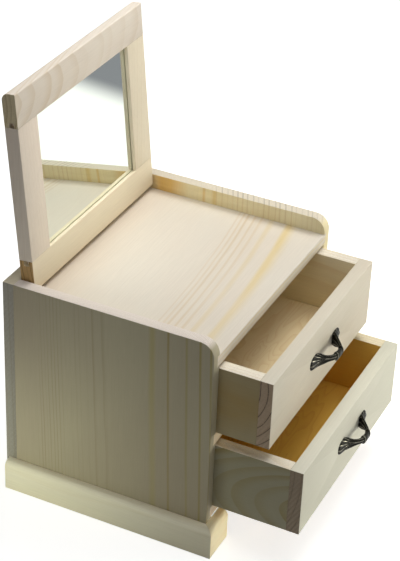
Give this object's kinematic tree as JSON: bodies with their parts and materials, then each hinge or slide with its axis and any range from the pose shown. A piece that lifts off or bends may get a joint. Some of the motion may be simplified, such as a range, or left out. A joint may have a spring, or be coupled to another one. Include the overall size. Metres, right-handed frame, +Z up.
{
  "type": "vanity box with mirror",
  "caption": "Small bare pine vanity box with shallow drawers on bow pulls and a framed mirror that tilts on pins above a tray top.",
  "frame": {"origin": "on the floor, at mid width, in the plane of the rear face of the back panel", "axes": "+X to the right seen from the front, +Y to the rear, +Z up; the drawers open towards -Y"},
  "size_m": [0.196, 0.2256, 0.2882],
  "materials": {
    "pine_upright": "bare planed pine, upright grain",
    "pine_across": "bare planed pine, grain along the width",
    "pine_plinth_side": "bare pine strip, grain front to rear",
    "pine_plinth_front": "bare pine strip, grain along the width",
    "pine_rail": "bare pine, grain along the rail",
    "pine_stile": "bare pine, upright grain",
    "pine_drawer_front": "bare planed pine, grain along the width",
    "pine_drawer_side": "bare planed pine, grain front to rear",
    "pine_drawer_back": "bare planed pine, grain along the width",
    "drawer_plywood": "thin softwood plywood, unfinished",
    "silvered_glass": "float glass silvered on its rear face",
    "fibreboard": "thin brown hardboard",
    "antique_bronze": "cast, dark bronze patina rubbed bright on the high points",
    "screw_steel": "zinc plated slotted screws",
    "pin_steel": "plain drawn steel pin"
  },
  "bodies": {
    "carcase": {"left_side": "pine_upright", "right_side": "pine_upright", "back_panel": "pine_upright", "top_board": "pine_across", "divider": "pine_across", "bottom_board": "pine_across", "plinth_left": "pine_plinth_side", "plinth_right": "pine_plinth_side", "foot_left": "pine_plinth_front", "foot_right": "pine_plinth_front", "pivot_pin_left": "pin_steel", "pivot_pin_right": "pin_steel"},
    "mirror": {"mirror_top_rail": "pine_rail", "mirror_bottom_rail": "pine_rail", "mirror_left_stile": "pine_stile", "mirror_right_stile": "pine_stile", "mirror_glass": "silvered_glass", "mirror_backing": "fibreboard"},
    "upper_drawer": {"upper_front": "pine_drawer_front", "upper_left_side": "pine_drawer_side", "upper_right_side": "pine_drawer_side", "upper_back": "pine_drawer_back", "upper_bottom": "drawer_plywood", "upper_pull": "antique_bronze", "upper_pull_screws": "screw_steel"},
    "lower_drawer": {"lower_front": "pine_drawer_front", "lower_left_side": "pine_drawer_side", "lower_right_side": "pine_drawer_side", "lower_back": "pine_drawer_back", "lower_bottom": "drawer_plywood", "lower_pull": "antique_bronze", "lower_pull_screws": "screw_steel"}
  },
  "joints": [
    {"name": "mirror_tilt", "type": "hinge", "parent": "carcase", "child": "mirror", "pos_m": [0, -0.01355, 0.15455], "axis": [1, 0, 0], "range_deg": [-1.2, 95.3]},
    {"name": "upper_drawer_slide", "type": "slide", "parent": "carcase", "child": "upper_drawer", "axis": [0, -1, 0], "range_m": [-0.0365, 0.0785]},
    {"name": "lower_drawer_slide", "type": "slide", "parent": "carcase", "child": "lower_drawer", "axis": [0, -1, 0], "range_m": [-0.0608, 0.0542]}
  ]
}
